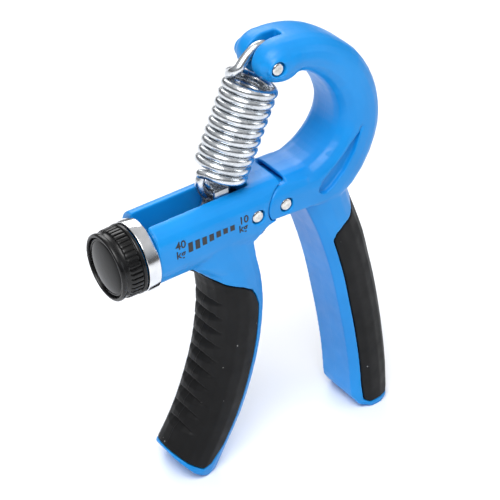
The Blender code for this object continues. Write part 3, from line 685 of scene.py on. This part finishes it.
bpy.ops.object.shade_smooth_by_angle(angle=math.radians(30))
put(screw, ON_SCREW @ Matrix.Translation((0, 0, THREAD_START * MM)))
screw.data.materials.append(SCREW_STEEL)
shank = turned("screw_shank", [
    (2.4, -1.9), (2.9, -1.7), (4.0, -1.6), (4.0, -0.3), (2.9, -0.3), (2.9, 9.7), (2.6, 10.0)],
    64, solid=True)
soften_edges(shank, 0.12)
put(shank, ON_SCREW)
shank.data.materials.append(SCREW_STEEL)
finish_piece(shank, "knob", "adjusting_screw")
finish_piece(screw, "knob", "adjusting_screw", "adjusting_screw")

# %% [markdown]
# ## Block, nut and carriage
# These small steel pieces are mostly hidden. Their CAD forms are right, so a copy gets its
# flat faces joined and its edges broken.

# %% Small steel pieces
def broken_edges(node, name, width):
    """A copy of a CAD node with its flats joined and its edges broken."""
    piece = copy_of(node, name)
    edit_all(piece)
    bpy.ops.mesh.dissolve_limited(angle_limit=math.radians(1))
    bpy.ops.object.mode_set(mode="OBJECT")
    soften_edges(piece, width)
    return piece


for node, name, width, body, metal in [
        ("carriage", "bent_steel_carriage", 0.18, "carriage", ZINC),
        ("end_block", "screw_end_block", 0.2, "front", SCREW_STEEL),
        ("knob_nut", "clamp_nut", 0.15, "knob", ZINC)]:
    steel = broken_edges(node, name, width)
    steel.data.materials.append(metal)
    finish_piece(steel, body, node, node)

# %% [markdown]
# ## The spring
# One zinc-plated wire makes a hook over the tip pin, ten close turns and a hook under the
# carriage's bridge. The path is written once and swept as a round curve. It is cut where
# the CAD's middle length sits.

# %% Wire path
WIRE_RADIUS = 1.44
COIL_RADIUS = 6.9
COIL_PITCH = 2.93
COIL_START = 6.6
COIL_TURNS = 10
CUT = 5.25                     # turns above the cut
HOOK_LEAD = 0.12               # turns at each end that belong to the hook's smooth path
TURN_STEPS = 36
HOOK_STEPS = 6
COIL_END = COIL_START + COIL_TURNS * COIL_PITCH
LOWER_HOOK = COIL_END + 1.5
HOOK_RADIUS = 5.6
HOOK_SHIFT = -0.5


def coil(turns):
    """A point of the coil after a number of turns."""
    angle = math.tau * turns
    return (COIL_START + COIL_PITCH * turns, -COIL_RADIUS * math.cos(angle), COIL_RADIUS * math.sin(angle))


def smooth_path(points, steps):
    """A Catmull-Rom curve through points."""
    path = []
    last = len(points) - 1
    for i in range(last):
        p = [Vector(points[min(max(i + k - 1, 0), last)]) for k in range(4)]
        for j in range(steps):
            t = j / steps
            path.append(0.5 * (2 * p[1] + (p[2] - p[0]) * t + (2 * p[0] - 5 * p[1] + 4 * p[2] - p[3]) * t * t
                               + (3 * p[1] - p[0] - 3 * p[2] + p[3]) * t ** 3))
    return path + [Vector(points[-1])]


def coil_between(start, end):
    """Even points of the coil from one number of turns to another."""
    count = int(round((end - start) * TURN_STEPS))
    return [Vector(coil(start + (end - start) * i / count)) for i in range(count + 1)]


UPPER_HOOK = [(1.6, 3.9, 0.0), (-0.8, 3.9, 0.0), (-2.9, 2.6, 0.0), (-3.85, 0.0, 0.0), (-3.0, -2.6, 0.0),
              (-0.8, -4.3, 0.0), (1.6, -5.6, -0.2), (4.0, -6.7, -0.5), (5.6, -7.1, 0.6), coil(0.06)]
lower_hook = [coil(COIL_TURNS - 0.06), (COIL_END + 0.5, -7.0, -0.7)]
for degrees in (186, 165, 140, 115, 90, 65, 40, 15, -5):
    turn = math.radians(degrees)
    side = HOOK_SHIFT + HOOK_RADIUS * math.cos(turn)
    lower_hook.append((LOWER_HOOK + HOOK_RADIUS * math.sin(turn), side, 0.0))


# %% Sweep the wire
def wire(name, path):
    """A round wire through spring coordinates, as a mesh."""
    curve = bpy.data.curves.new(name, "CURVE")
    curve.dimensions = "3D"
    curve.bevel_depth = WIRE_RADIUS * MM
    curve.bevel_resolution = 6
    curve.use_fill_caps = True
    spline = curve.splines.new("POLY")
    spline.points.add(len(path) - 1)
    for point, spot in zip(spline.points, path):
        point.co = (*on_spring(*spot), 1)
    piece = bpy.data.objects.new(name, curve)
    bpy.context.scene.collection.objects.link(piece)
    only(piece)
    bpy.ops.object.convert(target="MESH")
    piece = bpy.context.active_object
    edit_all(piece)
    bpy.ops.mesh.remove_doubles(threshold=MERGE * MM)
    bpy.ops.mesh.normals_make_consistent(inside=False)
    bpy.ops.object.mode_set(mode="OBJECT")
    bpy.ops.object.shade_smooth_by_angle(angle=math.radians(50))
    piece.data.materials.append(ZINC)
    return piece


upper_wire = wire("spring_wire_upper", smooth_path([*UPPER_HOOK, coil(HOOK_LEAD)], HOOK_STEPS)[:-1]
                  + coil_between(HOOK_LEAD, CUT))
lower_wire = wire("spring_wire_lower", coil_between(CUT, COIL_TURNS - HOOK_LEAD)[:-1]
                  + smooth_path([coil(COIL_TURNS - HOOK_LEAD), *lower_hook], HOOK_STEPS))
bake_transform(upper_wire)
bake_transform(lower_wire)
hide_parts("spring_upper", "spring_middle")
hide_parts("spring_lower")

# %% [markdown]
# ## The printed scale
# Seven bars shrink from the heavy end to the light end, with the numbers and the unit of
# force beside them. Each mark is made flat, then wrapped on the barrel's side: the side is
# flat above the screw's axis and round below it.

# %% Bars and numbers
INK_FILM = 0.08
INK_LIFT = 0.04                # the film stands this far off the plastic
marks = []


def side_depth(along, up):
    """How far the barrel's printed side lies from the middle plane, felt with a ray."""
    found, spot, _, _ = front_moulding.ray_cast(on_barrel(along, -20, up), Vector((0, 1, 0)))
    return -spot.y / MM if found else BARREL_HALF


def wrap_mark(piece):
    """Give a flat mark its thickness and lay it on the barrel's side."""
    only(piece)
    film = piece.modifiers.new("film", "SOLIDIFY")
    film.thickness = INK_FILM * MM
    film.offset = 0
    bpy.ops.object.modifier_apply(modifier=film.name)
    for vertex in piece.data.vertices:
        along, up, lift = [c / MM for c in vertex.co]
        vertex.co = on_barrel(along, -side_depth(along, up) - lift - INK_LIFT, up)
    marks.append(piece)


BAR_WIDTH = 1.5
FIRST_BAR = 10.1               # along the screw's axis from the ring
BAR_STEP = 2.38
BAR_HEIGHTS = [3.15, 3.0, 2.6, 2.3, 2.0, 1.8, 1.75]
BAR_BOTTOMS = [1.4, 1.45, 1.75, 2.0, 2.3, 2.4, 2.4]
for number, (tall, bottom) in enumerate(zip(BAR_HEIGHTS, BAR_BOTTOMS)):
    bpy.ops.object.select_all(action="DESELECT")
    bpy.ops.mesh.primitive_plane_add(size=MM)
    bar = bpy.context.active_object
    bar.name = f"scale_bar_{number}"
    edit_all(bar)
    bpy.ops.transform.resize(value=(BAR_WIDTH, tall, 1), center_override=(0, 0, 0))
    bpy.ops.transform.translate(value=((FIRST_BAR + BAR_STEP * number) * MM, (bottom + tall / 2) * MM, 0))
    bpy.ops.mesh.subdivide(number_cuts=3)
    bpy.ops.object.mode_set(mode="OBJECT")
    wrap_mark(bar)

LETTER_SCALE = 1.2             # text size over the figures' height
LETTER_BOLD = 0.05
LETTERING = [("40", 5.2, 3.75, 2.9), ("kg", 5.2, 0.75, 2.9), ("10", 26.7, 3.25, 2.8),
             ("kg", 26.5, 0.6, 2.8)]     # words, place along and above the axis, height
for number, (words, along, up, tall) in enumerate(LETTERING):
    bpy.ops.object.select_all(action="DESELECT")
    bpy.ops.object.text_add()
    label = bpy.context.active_object
    label.name = f"scale_label_{number}"
    label.data.body = words
    label.data.size = tall * LETTER_SCALE * MM
    label.data.offset = LETTER_BOLD * MM
    label.data.resolution_u = 4
    bpy.ops.object.convert(target="MESH")
    label = bpy.context.active_object
    edit_all(label)
    bpy.ops.transform.translate(value=(along * MM, up * MM, 0))
    bpy.ops.mesh.remove_doubles(threshold=MERGE * MM)
    bpy.ops.mesh.quads_convert_to_tris()
    bpy.ops.mesh.subdivide(number_cuts=2)
    bpy.ops.object.mode_set(mode="OBJECT")
    wrap_mark(label)

bpy.ops.object.select_all(action="DESELECT")
for mark in marks:
    mark.select_set(True)
bpy.context.view_layer.objects.active = marks[0]
bpy.ops.object.join()
scale_print = bpy.context.active_object
scale_print.name = "printed_scale"
edit_all(scale_print)
bpy.ops.mesh.normals_make_consistent(inside=False)
bpy.ops.object.mode_set(mode="OBJECT")
scale_print.data.materials.clear()
scale_print.data.materials.append(INK)
finish_piece(scale_print, "front", "front_handle")

# %% [markdown]
# ## Floor, light and camera
# A pale matt floor, one large soft light from above and the left, a weaker one from the
# right, and a bright plain surrounding give the even shadows of a product photograph.

# %% Floor
FLOOR_SIZE = 6.0
bpy.ops.object.select_all(action="DESELECT")
bpy.ops.mesh.primitive_plane_add(size=FLOOR_SIZE, location=(0, 0, 0))
floor = bpy.context.active_object
floor.name = "studio_floor"
paper, paper_tree, paper_shader, paper_place = new_finish("white_paper", 0.9)
paper_tint = ramp(paper_tree, grain(paper_tree, paper_place, 60.0), [(0.3, "#F6F7FA"), (0.7, "#FAFBFD")])
paper_tree.links.new(paper_tint, paper_shader.inputs["Base Color"])
floor.data.materials.append(paper)


# %% Lights
LIGHTS_AIM = Vector((0, 0, 0.07))     # metres, near the middle of the object
SKY_STRENGTH = 0.66


def soft_light(name, where, size, power, tone):
    """A square soft box that faces the object."""
    bpy.ops.object.light_add(type="AREA", location=where)
    lamp = bpy.context.active_object
    lamp.name = name
    lamp.data.size = size
    lamp.data.energy = power
    lamp.data.color = linear(tone)[:3]
    aim = LIGHTS_AIM - Vector(where)
    lamp.rotation_euler = aim.to_track_quat("-Z", "Y").to_euler()


soft_light("key_soft_box", (-0.35, -0.3, 0.8), 0.55, 6.7, "#FFFFFF")
soft_light("right_soft_box", (0.6, -0.45, 0.35), 0.35, 0.9, "#F5F9FF")
soft_light("back_soft_box", (0.25, 0.75, 0.65), 0.6, 4.4, "#FFFFFF")
world = bpy.data.worlds.new("plain_studio")
bpy.context.scene.world = world
world.use_nodes = True
sky = world.node_tree.nodes["Background"]
sky_place = add_node(world.node_tree, "ShaderNodeTexCoord")
sky_parts = add_node(world.node_tree, "ShaderNodeSeparateXYZ", Vector=sky_place.outputs["Generated"])
sky_tone = ramp(world.node_tree, sky_parts.outputs["Z"], [
    (0.0, "#8A8885"), (0.14, "#6E6F72"), (0.4, "#C2C6CB"), (0.75, "#FFFFFF")])
world.node_tree.links.new(sky_tone, sky.inputs["Color"])
sky.inputs["Strength"].default_value = SKY_STRENGTH

# %% Camera
CAMERA_SPOT = (-285.17, -407.09, 301.02)     # millimetres from the pivot
CAMERA_WAY = (0.4745, 0.6922, -0.5436)
CAMERA_LENS = 142.6
bpy.ops.object.camera_add(location=place(*CAMERA_SPOT))
camera = bpy.context.active_object
camera.rotation_euler = Vector(CAMERA_WAY).to_track_quat("-Z", "Y").to_euler()
camera.data.lens = CAMERA_LENS
camera.data.sensor_width = 36.0
camera.data.clip_start = 0.01
bpy.context.scene.camera = camera
bpy.context.scene.view_settings.view_transform = "Standard"
